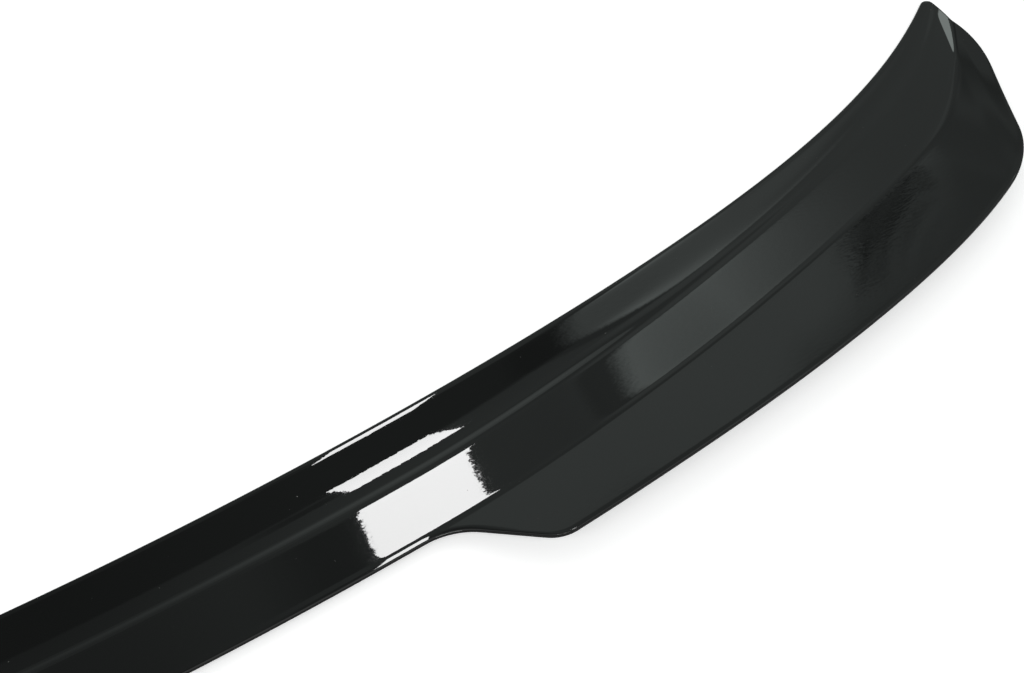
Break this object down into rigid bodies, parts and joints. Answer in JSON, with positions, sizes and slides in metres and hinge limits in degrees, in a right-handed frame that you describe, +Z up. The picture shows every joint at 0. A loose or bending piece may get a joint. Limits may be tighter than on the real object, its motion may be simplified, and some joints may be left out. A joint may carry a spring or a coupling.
{
  "type": "car rear spoiler",
  "caption": "Gloss-black moulded rear spoiler lip, swept in plan, with a narrow middle, wide upturned wings and a flat front land that bonds to the car body",
  "frame": {"origin": "on the flat bond face under the front land, on the centre line, 11 mm behind the front edge", "axes": "+X to the car's right along the span, +Y to the car's front, +Z up"},
  "size_m": [1.1518, 0.2132, 0.0277],
  "materials": {
    "gloss_black": "gloss"
  },
  "bodies": {
    "root": {"spoiler": "gloss_black"}
  },
  "joints": []
}
